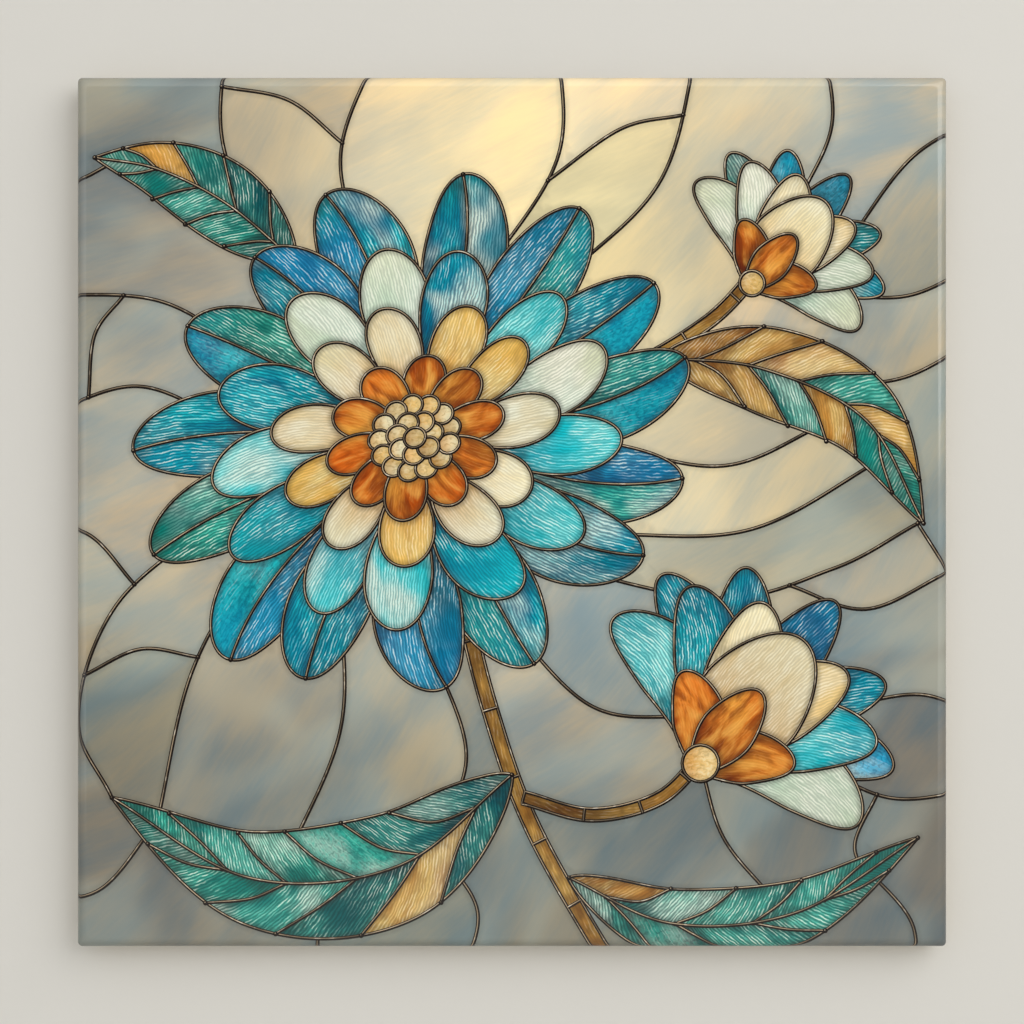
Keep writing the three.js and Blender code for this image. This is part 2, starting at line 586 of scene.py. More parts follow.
class Plan:
    """The points, edges and areas of one triangulation. Of areas that overlap, the last one shows."""

    def __init__(self):
        self.points = []
        self.edges = []
        self.areas = []
        self.owners = []

    def line(self, line, closed=False):
        first = len(self.points)
        self.points.extend(line)
        last = len(line) if closed else len(line) - 1
        self.edges.extend((first + k, first + (k + 1) % len(line)) for k in range(last))

    def area(self, outline, owner):
        first = len(self.points)
        self.points.extend(outline)
        self.areas.append(range(first, first + len(outline)))
        self.owners.append(owner)

    def triangles(self):
        """The points in use, the triangles between them and the owner of each."""
        flat = [Vector(point) for point in self.points]
        areas = [list(area) for area in self.areas]
        spots, _, faces, _, _, within = delaunay_2d_cdt(flat, self.edges, areas, 1, SAME_POINT)
        shown = [(face, max(under)) for face, under in zip(faces, within) if 0 in under]
        used, triangles = np.unique(np.array([face for face, _ in shown]), return_inverse=True)
        points = np.array([tuple(spot) for spot in spots])[used]
        return points, triangles.reshape(-1, 3), [self.owners[top] for _, top in shown]


def plan_of(shapes):
    """The plan of the whole face: its outline, the rings in which it bends, and the picture's shapes."""
    plan = Plan()
    plan.area(rounded_square(SKIN_HALF, SKIN_PIECES), "ground")
    rings = [FLAT_HALF - START_ROUNDING, FLAT_HALF + START_ROUNDING, ARRIS_HALF + GLAZE_LAP / 2]
    rings += [FLAT_HALF + CUSHION_ARC * step / CUSHION_STEPS for step in range(CUSHION_STEPS + 1)]
    for half in rings:
        plan.line(rounded_square(half, SKIN_PIECES), closed=True)
    spread = np.arange(-SKIN_HALF + 1, SKIN_HALF, SHADE_STEP)
    plan.points.extend(np.stack(np.meshgrid(spread, spread), -1).reshape(-1, 2))
    for index, shape in enumerate(shapes):
        half = shape.lead / 2
        if shape.kind == "pane":
            plan.area(moved_in(shape.line, -half), (index, "lead"))
            plan.line(shape.line, closed=True)
            plan.area(moved_in(shape.line, half), (index, "glass"))
        elif shape.kind == "line":
            aside = left_of(shape.line) * half
            plan.area(np.vstack([shape.line - aside, (shape.line + aside)[::-1]]), (index, "lead"))
            plan.line(shape.line)
        else:
            plan.area(shape.line + circle(SOLDER_RADIUS, 12), (index, "lead"))
            plan.points.extend(shape.line)
    return plan


def panes_of(triangles, owners):
    """A number for each triangle: touching triangles of one glass area share theirs, and lead has -1."""
    beside = {}
    for index, triangle in enumerate(triangles.tolist()):
        for k in range(3):
            beside.setdefault(frozenset((triangle[k], triangle[k - 1])), []).append(index)
    touching = [[] for _ in triangles]
    for pair in beside.values():
        if len(pair) == 2 and owners[pair[0]] == owners[pair[1]]:
            touching[pair[0]].append(pair[1])
            touching[pair[1]].append(pair[0])
    number = np.full(len(triangles), -1)
    panes = 0
    for index, owner in enumerate(owners):
        if number[index] >= 0 or owner[1] == "lead":
            continue
        number[index] = panes
        waiting = [index]
        while waiting:
            for other in touching[waiting.pop()]:
                if number[other] < 0:
                    number[other] = panes
                    waiting.append(other)
        panes += 1
    return number


# Painting the panes: what each corner of each triangle holds for the material


def blend(one, other, share):
    return one + (other - one) * np.asarray(share)[..., None]


def ground_colour(place):
    """The ground's colour from how far it is from the glow."""
    stops = [stop for stop, _ in GROUND_STOPS]
    return np.stack([np.interp(place, stops, [tint[k] for _, tint in GROUND_STOPS]) for k in range(3)], -1)


def drawn_to_areas(made, points):
    """Colours drawn towards those of the broad areas in which the points lie."""
    for middle, reach, tint in BROAD_AREAS:
        near = np.exp(-((np.linalg.norm(points - middle, axis=1) / reach) ** 2))
        made = blend(made, tint, AREA_PULL * near)
    return made


def from_glow(points):
    """How far points are from the glow, from 0 to about 1.4. It fades more slowly to the left."""
    across, up = (points - GLOW).T
    return np.hypot(across / np.where(across < 0, GLOW_LEFT, GLOW_RIGHT), up / GLOW_UP)


class Paint:
    """One value of each kind for every corner of the skin: the two tones of its glass, how rippled, cloudy,
    mottled and pebbled it is, its place across the lead, its place in the grain and how far off lead is."""

    def __init__(self, corners):
        self.low = np.zeros((corners, 4))
        self.high = np.zeros((corners, 4))
        self.style = np.zeros((corners, 4))
        self.lead = np.zeros((corners, 3))
        self.grain = np.zeros((corners, 2))
        self.edge = np.full(corners, FAR_FROM_LEAD)
        self.low[:, 3] = self.high[:, 3] = 1


def paint_ground(paint, corners, points, draw):
    """Opalescent glass: the ground's colour at this place, with a cast and a level of the pane's own."""
    middle = points.mean(axis=0)
    place = 0.5 * from_glow(points) + 0.5 * from_glow(middle[None])[0] + draw.uniform(-0.12, 0.12)
    tinge = np.clip(place * 1.5, 0.1, 1)
    base = ground_colour(place) * draw.uniform(0.84, 1.18)
    cast = draw.choice(PANE_CASTS)
    level = base.mean(axis=1, keepdims=True)
    base = blend(base, cast / cast.mean() * level, draw.uniform(0.2, 0.7) * tinge)
    base = drawn_to_areas(base, points)
    level = base.mean(axis=1, keepdims=True)
    cool = blend(base, COOL_CAST / COOL_CAST.mean() * level, COOL_SHARE * tinge)
    warm = blend(base, WARM_CAST / WARM_CAST.mean() * level, WARM_SHARE * tinge)
    paint.low[corners, :3] = cool * COOL_LEVEL
    paint.high[corners, :3] = warm * WARM_LEVEL
    paint.style[corners, 1] = GROUND_CLOUD
    paint.grain[corners] = turned(points, draw.uniform(-70, -15)) * GROUND_GRAIN


def paint_pane(paint, corners, points, shape, draw):
    """Glass that darkens towards its root, may turn into another kind on the way, and is lit somewhere."""
    glass = GLASSES[draw.choice(shape.glasses)]
    flashed = GLASSES[draw.choice(shape.glasses)]
    if (flashed.tip[0] > flashed.tip[2]) != (glass.tip[0] > glass.tip[2]):
        flashed = glass
    distance, along, side, _ = measured(shape.spine, points)
    length = np.linalg.norm(np.diff(shape.spine, axis=0), axis=1).sum()
    share = np.clip(along / length + draw.uniform(-0.2, 0.2), 0, 1)
    low = blend(glass.root, glass.tip, share**1.2)
    turn = smooth((share - draw.uniform(0.1, 0.9)) * draw.choice((-3, 3)) + 0.5)
    low = blend(low, blend(flashed.root, flashed.tip, share), 0.7 * turn) * draw.uniform(0.66, 1.22)
    light = np.exp(-(((share - draw.uniform(0.35, 0.9)) / 0.32) ** 2)) * draw.uniform(0.4, 1.0)
    paint.low[corners, :3] = blend(low, glass.tip, 0.65 * light)
    paint.high[corners, :3] = blend(low, glass.streak, 0.35 + 0.65 * light)
    pebbled = draw.random() < glass.pebbles
    clouded = draw.choice((0.2, 0.2, 1.9))
    paint.style[corners, 0] = glass.ripple * (0.25 if pebbled else 1)
    paint.style[corners, 1] = np.minimum(glass.cloud * clouded * (0.4 + light), 1)
    paint.style[corners, 2] = glass.mottle
    paint.style[corners, 3] = pebbled
    aside = distance * side
    if shape.glasses == LEAF_GLASSES:
        along, aside = (along + distance) * LEAF_SLANT, (along - distance) * LEAF_SLANT
    paint.grain[corners] = np.stack([along, aside], 1)


def paint_lead(paint, corners, points, shape):
    """The crown of the lead, which catches the light, lies where the first two numbers of lead are 0."""
    paint.edge[corners] = ON_LEAD
    if shape.kind == "solder":
        off = (points - shape.line) / SOLDER_RADIUS - CROWN_SHIFT * LIT_FROM
        paint.lead[corners] = np.column_stack([off, np.full(len(off), SOLDER_BRIGHT)])
        return
    distance, along, side, lit = measured(shape.line, points, shape.kind == "pane")
    across = np.clip(2 * distance / shape.lead, 0, 1) * side - CROWN_SHIFT * lit
    bright = 1.0 if shape.lead == LEAD_WIDTH else GROUND_LEAD_BRIGHT
    paint.lead[corners] = np.stack([across, np.zeros(len(across)), np.full(len(across), bright)], 1)
    paint.grain[corners] = np.stack([along, across], 1)


def painted(points, triangles, owners, shapes):
    """The paint of every pane and lead, each from random draws of its own."""
    panes = panes_of(triangles, owners)
    corners = triangles.reshape(-1)
    paint = Paint(len(corners))
    groups = {}
    for index, owner in enumerate(owners):
        groups.setdefault(owner if panes[index] < 0 else int(panes[index]), []).append(index)
    for members in groups.values():
        places = (np.array(members)[:, None] * 3 + np.arange(3)).reshape(-1)
        spots = points[corners[places]]
        owner = owners[members[0]]
        across, up = np.round(spots.mean(axis=0) / PLACE_STEP).astype(int)
        draw = random.Random(f"{owner} {across} {up}")
        if owner == "ground":
            paint_ground(paint, places, spots, draw)
        elif owner[1] == "lead":
            paint_lead(paint, places, spots, shapes[owner[0]])
        else:
            paint_pane(paint, places, spots, shapes[owner[0]], draw)
        paint.grain[places] += [draw.uniform(0, GRAIN_SPREAD), draw.uniform(0, GRAIN_SPREAD)]

    # The glass knows how far it is from the nearest lead
    bordering = set(triangles[panes < 0].reshape(-1)) & set(triangles[panes >= 0].reshape(-1))
    tree = KDTree(len(bordering))
    for vertex in bordering:
        tree.insert((*points[vertex], 0), int(vertex))
    tree.balance()
    to_lead = np.array([tree.find((*point, 0))[2] for point in points])
    glass = np.repeat(panes >= 0, 3)
    paint.edge[glass] = to_lead[corners[glass]]

    # The picture is painted a little darker over the cushion, as painted shade where the edge turns away,
    # and the land is plain white
    half = half_through(points)[corners]
    painted_rim_shade = (1 - RIM_SHADE * smooth((half - FLAT_HALF) / CUSHION_ARC))[:, None]
    bare = np.repeat(half_through(points[triangles].mean(axis=1)) > ARRIS_HALF, 3)
    for values in (paint.low, paint.high):
        values[:, :3] *= painted_rim_shade
        values[bare, :3] = WHITE_GLAZE
    paint.style[bare] = 0
    paint.edge[bare] = FAR_FROM_LEAD
    return paint


# Meshes


def new_object(name, mesh, material):
    mesh.materials.append(material)
    obj = bpy.data.objects.new(name, mesh)
    bpy.context.scene.collection.objects.link(obj)
    return obj


def write(mesh, name, kind, values, rest):
    """One value for each corner of the mesh. The corners past the end of the values get the rest value."""
    field = {"FLOAT_COLOR": "color", "FLOAT_VECTOR": "vector", "FLOAT": "value"}[kind]
    missing = len(mesh.loops) - len(values)
    full = np.concatenate([values, np.repeat(np.array([rest], float), missing, axis=0)])
    layer = mesh.attributes.new(name, kind, "CORNER")
    layer.data.foreach_set(field, full.astype(np.float32).ravel())


def write_uv(mesh, name, values):
    layer = mesh.uv_layers.new(name=name)
    layer.data.foreach_set("uv", values.astype(np.float32).ravel())


def bands(rings, count):
    """The quads between rings of vertices that follow one another in a mesh."""
    return [
        [low + (k + 1) % count, low + k, low + count + k, low + count + (k + 1) % count]
        for low in range(0, (rings - 1) * count, count)
        for k in range(count)
    ]


def rim_of(triangles):
    """The vertices round the edge of a sheet of triangles, in order."""
    sides = {(triangle[k - 1], triangle[k]) for triangle in triangles.tolist() for k in range(3)}
    onward = {a: b for a, b in sides if (b, a) not in sides}
    loop = [min(onward)]
    while onward[loop[-1]] != loop[0]:
        loop.append(onward[loop[-1]])
    return np.array(loop)


# How far in and down the lip of the glaze runs, and the room it takes in the unrolled plan
LIP = (
    (-0.04, 0.08, 0.12),
    (-0.10, 0.12, 0.24),
    (-GLAZE_THICKNESS, 0.08, 0.36),
    (-GLAZE_THICKNESS, None, 1.0),
)


def glazed_face(material):
    """The glaze with the picture in it: a closed skin over the face and the top of the land."""
    shapes = picture()
    points, triangles, owners = plan_of(shapes).triangles()
    paint = painted(points, triangles, owners, shapes)

    rim = rim_of(triangles)
    count = len(rim)
    edge = wrapped(points[rim])
    flat = edge[:, [0, 2]] / MM
    half = np.full(count, HALF_SIDE)
    rows, plans = [], [points[rim]]
    for inwards, down, beyond in LIP:
        place = resized(flat, half, half + inwards)
        depth = np.full(count, GLAZE_DEPTH - THICKNESS) if down is None else edge[:, 1] / MM + down
        rows.append(np.stack([place[:, 0], depth, place[:, 1]], 1) * MM)
        plans.append(resized(points[rim], np.full(count, SKIN_HALF), np.full(count, SKIN_HALF + beyond)))

    vertices = np.vstack([wrapped(points), *rows])
    faces = triangles.tolist()
    unrolled = [points[triangles.reshape(-1)]]
    above = rim
    for number, plan in enumerate(plans[1:]):
        below = len(points) + number * count + np.arange(count)
        faces += np.stack([above, below, np.roll(below, -1), np.roll(above, -1)], 1).tolist()
        upper = plans[number]
        corners = np.stack([upper, plan, np.roll(plan, -1, axis=0), np.roll(upper, -1, axis=0)], 1)
        unrolled.append(corners.reshape(-1, 2))
        above = below
    faces.append(above.tolist())
    outer = SKIN_HALF + MAP_MARGIN
    unrolled.append(flat / HALF_SIDE * [STRIP_HALF, SKIN_HALF - 1] + [outer + STRIP_ROOM / 2, 0])
    baked = (np.vstack(unrolled) + outer) / (2 * outer + STRIP_ROOM)

    mesh = bpy.data.meshes.new("glazed_face")
    mesh.from_pydata(vertices.tolist(), [], faces)
    white = [*WHITE_GLAZE, 1.0]
    write(mesh, "low", "FLOAT_COLOR", paint.low, white)
    write(mesh, "high", "FLOAT_COLOR", paint.high, white)
    write(mesh, "style", "FLOAT_COLOR", paint.style, [0, 0, 0, 0])
    write(mesh, "lead", "FLOAT_VECTOR", paint.lead, [0, 0, 0])
    write(mesh, "edge", "FLOAT", paint.edge, FAR_FROM_LEAD)
    write_uv(mesh, "OFBake", baked * (1 - 2 * MAP_EDGE) + MAP_EDGE)
    spare = np.zeros((len(mesh.loops) - len(paint.grain), 2))
    write_uv(mesh, "grain", np.vstack([paint.grain, spare]))
    mesh.shade_smooth()
    return new_object("glazed_face", mesh, material)


# The fired body: sides, draft and back

POCKET_FIELD = 2 * (HALF_SIDE - DRAFT_INSET - BACK_CHAMFER - RIM_WIDTH)
POCKET_PITCH = (POCKET_FIELD + RIB_WIDTH) / POCKETS_ACROSS
PATCH_PLACES = np.array([-1, -0.93, -0.86, -0.79, -0.5, -0.18, 0.18, 0.5, 0.79, 0.86, 0.93])


def fired_body(material):
    """The bare clay under and behind the glaze, with its keying pockets. The profile is half the side and
    the depth of each ring from the glaze to the back, with small steps that round the edges."""
    inner = HALF_SIDE - GLAZE_THICKNESS - GAP_BESIDE
    land_foot = CUSHION_DROP + LAND_HEIGHT - THICKNESS
    back = HALF_SIDE - DRAFT_INSET
    profile = (
        (inner - 0.3, GLAZE_DEPTH + GAP_BELOW - THICKNESS),
        (inner, GLAZE_DEPTH + 0.3 - THICKNESS),
        (inner, land_foot - 0.25),
        (inner - 0.05, land_foot - 0.02),
        (back - 0.02, -BACK_CHAMFER - 0.12),
        (back - 0.12, -BACK_CHAMFER + 0.08),
        (back - BACK_CHAMFER + 0.08, -0.08),
        (back - BACK_CHAMFER - 0.14, 0.0),
    )
    loops = [rounded_square(half, BODY_PIECES) for half, _ in profile]
    count = len(loops[0])
    vertices = [(x, depth, z) for loop, (_, depth) in zip(loops, profile) for x, z in loop]
    faces = [list(range(count)), *bands(len(profile), count)]
    plan = Plan()
    plan.area(loops[-1], "rim")
    plan.area(pocket_field_edge(), "pockets")
    points, triangles, owners = plan.triangles()
    start = len(vertices)
    vertices += [(x, 0.0, z) for x, z in points]
    for triangle, owner in zip(triangles.tolist(), owners):
        if owner == "rim":
            faces.append([start + k for k in triangle[::-1]])
    mesh = bpy.data.meshes.new("fired_body_shell")
    mesh.from_pydata([(x * MM, y * MM, z * MM) for x, y, z in vertices], [], faces)
    shell = new_object("fired_body_shell", mesh, material)
    patch = pocket_patch(material)
    body = with_pockets(shell, patch, material)
    for helper in (shell, patch):
        bpy.data.objects.remove(helper)
    return body


def patch_border(half):
    """The edge of the square round one pocket, with more points near its corners."""
    return four_sides(np.stack([-PATCH_PLACES, np.ones(len(PATCH_PLACES))], 1) * half)


def pocket_field_edge():
    """The edge of the whole field of pockets, with the points of all the patches along it."""
    middles = (np.arange(POCKETS_ACROSS) - (POCKETS_ACROSS - 1) / 2) * POCKET_PITCH
    side = (middles[:, None] + PATCH_PLACES * POCKET_PITCH / 2).reshape(-1)
    return four_sides(np.stack([-side, np.full(len(side), POCKETS_ACROSS * POCKET_PITCH / 2)], 1))


def pocket_patch(material):
    """One pocket with the halves of the ribs round it. The rows are half the width and the depth of each
    ring from the mouth to the middle of the floor, with small steps that round the edges."""
    border = patch_border(POCKET_PITCH / 2)
    mouth = (POCKET_PITCH - RIB_WIDTH) / 2
    floor = mouth - POCKET_WALL_SLOPE
    rows = (
        (mouth + 0.30, 0.0),
        (mouth + 0.10, 0.05),
        (mouth - 0.04, 0.22),
        (floor + 0.12, POCKET_DEPTH - 0.20),
        (floor - 0.08, POCKET_DEPTH - 0.05),
        (floor - 0.40, POCKET_DEPTH),
        (floor - 2.20, POCKET_DEPTH - 0.05),
    )
    count = len(border)
    vertices = [(x * MM, 0.0, z * MM) for x, z in border]
    for half, depth in rows:
        scaled = border * half / (POCKET_PITCH / 2)
        core = half - POCKET_CORNER_RADIUS
        inner = np.clip(scaled, -core, core)
        loop = inner + unit(scaled - inner) * POCKET_CORNER_RADIUS
        vertices += [(x * MM, -depth * MM, z * MM) for x, z in loop]
    middle = [len(rows) * count + k for k in range(count)][::-1]
    mesh = bpy.data.meshes.new("pocket_patch")
    mesh.from_pydata(vertices, [], [*bands(len(rows) + 1, count), middle])
    return new_object("pocket_patch", mesh, material)


def with_pockets(shell, patch, material):
    """The shell with a square grid of pockets set in its back, as one plain mesh."""
    tree = bpy.data.node_groups.new("keying_pockets", "GeometryNodeTree")
    for name, kind, direction in (
        ("Body", "NodeSocketGeometry", "INPUT"),
        ("Pocket", "NodeSocketObject", "INPUT"),
        ("Pockets across", "NodeSocketInt", "INPUT"),
        ("Field", "NodeSocketFloat", "INPUT"),
        ("Weld", "NodeSocketFloat", "INPUT"),
        ("Clay", "NodeSocketMaterial", "INPUT"),
        ("Body", "NodeSocketGeometry", "OUTPUT"),
    ):
        tree.interface.new_socket(name, in_out=direction, socket_type=kind)

    def node(kind, **inputs):
        made = tree.nodes.new(kind)
        for name, value in inputs.items():
            socket = made.inputs[name.replace("_", " ")]
            for source in value if isinstance(value, list) else [value]:
                if isinstance(source, bpy.types.NodeSocket):
                    tree.links.new(source, socket)
                else:
                    socket.default_value = source
        return made.outputs[0] if made.outputs else made

    given = tree.nodes.new("NodeGroupInput").outputs
    across, field = given["Pockets across"], given["Field"]
    grid = node("GeometryNodeMeshGrid", Size_X=field, Size_Y=field, Vertices_X=across, Vertices_Y=across)
    upright = node("GeometryNodeTransform", Geometry=grid, Rotation=(math.pi / 2, 0, 0))
    source = tree.nodes.new("GeometryNodeObjectInfo")
    tree.links.new(given["Pocket"], source.inputs["Object"])
    placed = node("GeometryNodeInstanceOnPoints", Points=upright, Instance=source.outputs["Geometry"])
    real = node("GeometryNodeRealizeInstances", Geometry=placed)
    joined = node("GeometryNodeJoinGeometry", Geometry=[given["Body"], real])
    welded = node("GeometryNodeMergeByDistance", Geometry=joined, Distance=given["Weld"])
    clay = node("GeometryNodeSetMaterial", Geometry=welded, Material=given["Clay"])
    node("NodeGroupOutput", Body=clay)

    modifier = shell.modifiers.new("keying_pockets", "NODES")
    modifier.node_group = tree
    values = {
        "Pocket": patch,
        "Pockets across": POCKETS_ACROSS,
        "Field": POCKET_PITCH * (POCKETS_ACROSS - 1) * MM,
        "Weld": POCKET_WELD * MM,
        "Clay": material,
    }
    for item in tree.interface.items_tree:
        if item.in_out == "INPUT" and item.name in values:
            modifier[item.identifier] = values[item.name]
    evaluated = shell.evaluated_get(bpy.context.evaluated_depsgraph_get())
    mesh = bpy.data.meshes.new_from_object(evaluated)
    mesh.name = "fired_body"
    shell.modifiers.remove(modifier)
    mesh.materials.clear()
    mesh.shade_smooth()
    return new_object("fired_body", mesh, material)


# Materials


class Wire:
    """A number that comes out of a node. Arithmetic on it adds Math nodes."""

    def __init__(self, recipe, socket):
        self.recipe = recipe
        self.socket = socket

    def __add__(self, other):
        return self.recipe.maths("ADD", self, other)

    def __sub__(self, other):
        return self.recipe.maths("SUBTRACT", self, other)

    def __rsub__(self, other):
        return self.recipe.maths("SUBTRACT", other, self)

    def __mul__(self, other):
        return self.recipe.maths("MULTIPLY", self, other)

    __radd__ = __add__
    __rmul__ = __mul__


class Recipe:
    """The nodes of a material or of the world."""

    def __init__(self, owner, shader="Principled BSDF"):
        owner.use_nodes = True
        self.tree = owner.node_tree
        self.shader = self.tree.nodes[shader]
        self.owner = owner

    def node(self, kind, inputs, output=0, **settings):
        made = self.tree.nodes.new(kind)
        for name, value in settings.items():
            setattr(made, name, value)
        self.fill(made, inputs)
        return Wire(self, made.outputs[output])

    def fill(self, node, inputs):
        for place, value in inputs.items():
            socket = node.inputs[place]
            if isinstance(value, Wire):
                self.tree.links.new(value.socket, socket)
            else:
                socket.default_value = value

    def maths(self, operation, one, other=0.0):
        return self.node("ShaderNodeMath", {0: one, 1: other}, operation=operation)

    def step(self, value, low, high):
        """0 at low, 1 at high and smooth between them."""
        inputs = {"Value": value, "From Min": low, "From Max": high}
        return self.node("ShaderNodeMapRange", inputs, interpolation_type="SMOOTHSTEP")

    def mix(self, share, one, other):
        """A colour between two others."""
        return self.node("ShaderNodeMix", {0: share, 6: one, 7: other}, output=2, data_type="RGBA")

    def noise(self, where, scale, detail=2.0, distortion=0.0):
        """Noise between 0 and 1. The scale is a number, or one for each direction."""
        if isinstance(scale, tuple):
            where = self.node("ShaderNodeMapping", {"Vector": where, "Scale": (*scale, 1)})
            scale = 1.0
        inputs = {"Vector": where, "Scale": scale, "Detail": detail, "Distortion": distortion}
        return self.node("ShaderNodeTexNoise", inputs)

    def stored(self, name, output="Color"):
        return self.node("ShaderNodeAttribute", {}, output=output, attribute_name=name)

    def split(self, vector, kind="ShaderNodeSeparateXYZ"):
        return [self.node(kind, {0: vector}, output=k) for k in range(3)]

    def place(self, output="Object"):
        return self.node("ShaderNodeTexCoord", {}, output=output)

    def bump(self, height, strength, distance):
        inputs = {"Height": height, "Strength": strength, "Distance": distance}
        return self.node("ShaderNodeBump", inputs)


def tone(red, green, blue):
    """A colour given as it looks on a screen, for a colour socket."""
    return (*colour(red, green, blue), 1.0)


def picture_glaze():
    """The picture, under a clear gloss glaze. Noise scales are for each millimetre along and across the
    grain of a pane."""
    r = Recipe(bpy.data.materials.new("picture_glaze"))
    low, high = r.stored("low"), r.stored("high")
    edge = r.stored("edge", "Fac")
    ripple, cloud, mottle = r.split(r.stored("style"), "ShaderNodeSeparateColor")
    pebbled = r.stored("style", "Alpha")
    lead = r.stored("lead", "Vector")
    grain = r.node("ShaderNodeUVMap", {}, uv_map="grain")
    along, aside, _ = r.split(grain)

    # Two tones that flow into each other, with white clouds in them
    zone = r.noise(grain, (0.07, 0.13), 1.5, 0.9)
    wisps = r.noise(grain, (0.10, 0.55), 3.0, 0.4)
    strands = r.noise(grain, (0.6, 3.6), 2.0)
    softness = 0.17 - ripple * 0.05
    flow = zone * 0.62 + wisps * 0.26 + strands * 0.12
    glass = r.mix(r.step(flow, 0.5 - softness, softness + 0.5), low, high)
    patches = r.noise(grain, (0.08, 0.12), 1.5, 0.4)
    glass = r.mix(r.step(patches, 0.42, 0.66) * cloud, glass, tone(242, 252, 234))

    # Dark and golden blotches in mottled glass
    blotches = r.noise(grain, (0.16, 0.42), 4.0, 0.8)
    glass = r.mix(mottle * r.step(blotches, 0.56, 0.34) * 0.65, glass, tone(104, 26, 4))
    glass = r.mix(mottle * r.step(blotches, 0.50, 0.70) * 0.6, glass, tone(255, 190, 92))

    # Ripples along the grain, dark in their troughs and glinting on their crests, or pebbles instead
    drift = r.noise(grain, (0.09, 0.12), 1.0)
    flutter = r.noise(grain, (0.55, 0.8), 1.0)
    pebbles = r.noise(grain, (1.3, 1.8), 2.0, 0.6)
    phase = aside * 12.6 + along * 1.3 + drift * 28 + flutter * 6 + pebbles * 3
    crest = r.maths("SINE", phase) * 0.5 + 0.5
    broken = r.step(r.noise(grain, (0.34, 1.6), 2.0), 0.34, 0.60)
    waves = crest * (broken * 0.65 + 0.35)
    trough = r.mix(0.5, low, tone(0, 0, 0))
    glass = r.mix(ripple * r.step(waves, 0.7, 0.0) * 0.72, glass, trough)
    glints = ripple * r.step(waves, 0.5, 0.92) * r.step(zone * 0.55 + patches * 0.45, 0.40, 0.54)
    whitest = r.step(waves, 0.62, 1.0) * (0.8 - mottle * 0.7)
    glass = r.mix(glints * 0.9, glass, r.mix(whitest, high, tone(255, 254, 240)))
    glass = r.mix(pebbled * r.step(pebbles, 0.52, 0.34) * 0.45, glass, trough)
    glass = r.mix(pebbled * r.step(pebbles, 0.52, 0.68) * 0.5, glass, high)

    # The glass darkens beside the lead, the ground less than the motifs
    rich = r.step(ripple + mottle, 0.0, 0.2)
    shade = r.step(edge, 1.1, 0.0)
    glass = r.mix(shade * (rich * 0.26 + 0.18), glass, tone(38, 28, 22))

    # The lead, with a worn ridge and a few bright sparks
    patina = r.step(r.noise(grain, (0.13, 0.1), 2.0), 0.36, 0.64)
    sparks = r.step(r.noise(grain, (0.7, 0.3), 1.0), 0.56, 0.70)
    across, up, bright = r.split(lead)
    crown = r.maths("SQRT", across * across + up * up)
    ridge = r.step(crown, 0.38, 0.0) * (patina * 0.74 + 0.26) * bright
    metal = r.mix(ridge, tone(29, 21, 16), tone(216, 192, 158))
    metal = r.mix(ridge * sparks * 0.85, metal, tone(255, 244, 224))
    covered = r.step(edge, -0.4, -0.6)
    picture_colour = r.mix(covered, glass, metal)

    # The gloss is faintly smeared and faintly uneven
    where = r.place()
    smears = r.noise(where, 55.0, 3.0)
    skin = r.noise(where, 260.0, 2.0)
    r.fill(r.shader, {
        "Base Color": picture_colour,
        "Roughness": smears * 0.07 + 0.05,
        "IOR": 1.52,
        "Normal": r.bump(skin, 0.05, 0.0001),
    })
    return r.owner


def bare_clay():
    """Fired off-white earthenware with fine grit, and pinholes painted darker as painted shade in them."""
    r = Recipe(bpy.data.materials.new("bare_clay"))
    where = r.place()
    body = r.mix(r.step(r.noise(where, 22.0, 4.0), 0.35, 0.68), tone(206, 194, 172), tone(222, 213, 195))
    grit = r.step(r.noise(where, 1900.0), 0.62, 0.74)
    body = r.mix(grit * 0.35, body, tone(164, 138, 106))
    pits = r.step(r.node("ShaderNodeTexVoronoi", {"Vector": where, "Scale": 760.0}), 0.16, 0.06)
    pinholes = pits * r.step(r.noise(where, 330.0), 0.56, 0.64)
    # Painted shade: the pinholes are painted darker, and the bump below also sinks them
    body = r.mix(pinholes * 0.7, body, tone(112, 96, 76))
    height = r.noise(where, 2600.0, 3.0) * 0.5 - pinholes
    r.fill(r.shader, {
        "Base Color": body,
        "Roughness": grit * 0.08 + 0.82,
        "Normal": r.bump(height, 0.35, 0.0002),
    })
    return r.owner


def plain_paint(name, red, green, blue):
    """Matt paint with a faint tooth."""
    r = Recipe(bpy.data.materials.new(name))
    tooth = r.noise(r.place(), 900.0)
    r.fill(r.shader, {
        "Base Color": tone(red, green, blue),
        "Roughness": 0.8,
        "Normal": r.bump(tooth, 0.08, 0.0002),
    })
    return r.owner


# Stage, light and camera

STAGE_PAINT = (221, 218, 211)
PANEL_HALF = 0.6
WINDOW_LAP = 0.12
WINDOW_HALF = (HALF_SIDE - DRAFT_INSET - BACK_CHAMFER - WINDOW_LAP) * MM
FLOOR_HALF = 4.0
LENS = 85.0
SENSOR = 36.0
PHOTO_PIXELS = 1024
TILE_PIXELS = 868

# How bright the surroundings are, from beside and behind the tile (0) to straight in front of it (1), where
# it is dark about the camera
SURROUNDINGS = ((0.0, 0.60), (0.5, 0.85), (0.90, 1.08), (0.955, 0.16), (1.0, 0.12))


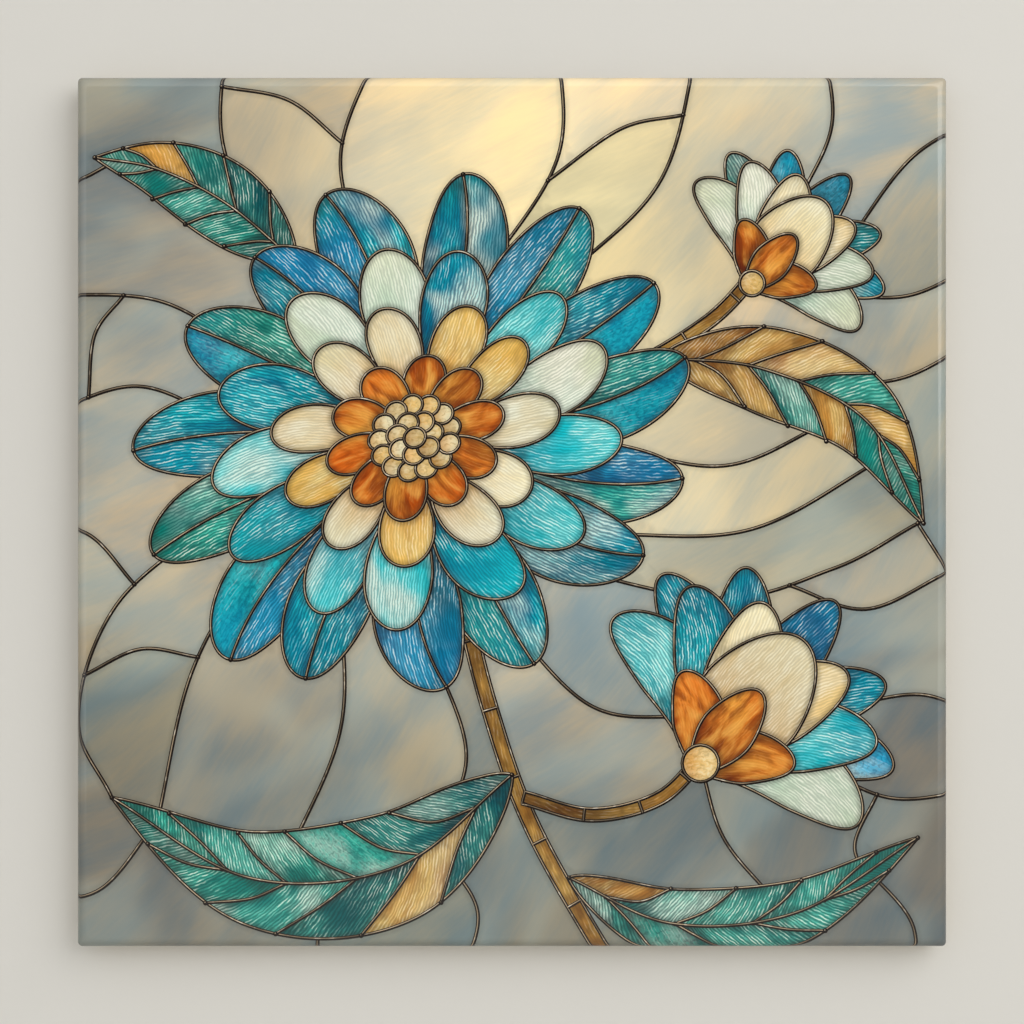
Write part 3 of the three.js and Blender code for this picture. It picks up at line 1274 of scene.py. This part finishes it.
def stage():
    """A pale panel behind the tile, open behind it so that the back can be seen, and a pale floor."""
    corners = [(-1, -1), (1, -1), (1, 1), (-1, 1)]
    vertices = [(x * size, 0, z * size) for size in (PANEL_HALF, WINDOW_HALF) for x, z in corners]
    faces = [[k, (k + 1) % 4, 4 + (k + 1) % 4, 4 + k] for k in range(4)]
    panel = bpy.data.meshes.new("pale_panel")
    panel.from_pydata(vertices, [], faces)
    new_object("pale_panel", panel, plain_paint("panel_paint", *STAGE_PAINT))
    vertices = [(x * FLOOR_HALF, y * FLOOR_HALF, -PANEL_HALF) for x, y in corners]
    floor = bpy.data.meshes.new("pale_floor")
    floor.from_pydata(vertices, [], [[0, 1, 2, 3]])
    new_object("pale_floor", floor, plain_paint("floor_paint", *STAGE_PAINT))


def area_light(name, place, size, watts, tint=(1, 1, 1)):
    """A round soft light that shines at the middle of the tile."""
    data = bpy.data.lights.new(name, "AREA")
    data.shape = "DISK"
    data.size = size
    data.energy = watts
    data.color = tint
    lamp = bpy.data.objects.new(name, data)
    lamp.location = place
    lamp.rotation_euler = (-Vector(place)).to_track_quat("-Z", "Y").to_euler()
    bpy.context.scene.collection.objects.link(lamp)


def lights():
    area_light("key", (0.74, -0.82, 0.56), size=1.2, watts=6.4, tint=(1.0, 0.985, 0.96))
    area_light("back_light", (-0.9, 0.5, 0.7), size=0.35, watts=9.0)
    world = bpy.data.worlds.new("studio")
    r = Recipe(world, "Background")
    forward = r.split(r.place("Generated"))[1] * -1
    level = None
    for (before, dim), (after, full) in zip(SURROUNDINGS, SURROUNDINGS[1:]):
        rise = r.step(forward, before, after) * (full - dim)
        level = rise + SURROUNDINGS[0][1] if level is None else level + rise
    r.fill(r.shader, {"Color": (0.97, 0.985, 1.0, 1), "Strength": level})
    bpy.context.scene.world = world


def camera():
    """Straight in front, as far away as fills the frame as in the photograph."""
    width = 2 * HALF_SIDE * MM * PHOTO_PIXELS / TILE_PIXELS
    distance = width * LENS / SENSOR
    data = bpy.data.cameras.new("camera")
    data.lens = LENS
    data.sensor_width = SENSOR
    obj = bpy.data.objects.new("camera", data)
    obj.location = (0, -(THICKNESS - CUSHION_DROP) * MM - distance, 0)
    obj.rotation_euler = (math.pi / 2, 0, 0)
    bpy.context.scene.collection.objects.link(obj)
    bpy.context.scene.camera = obj


camera()
lights()
stage()
bpy.context.scene.view_settings.view_transform = "Standard"

face = glazed_face(picture_glaze())
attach(face, "root")
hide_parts("tile")

body = fired_body(bare_clay())
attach(body, "root")
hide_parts("tile")
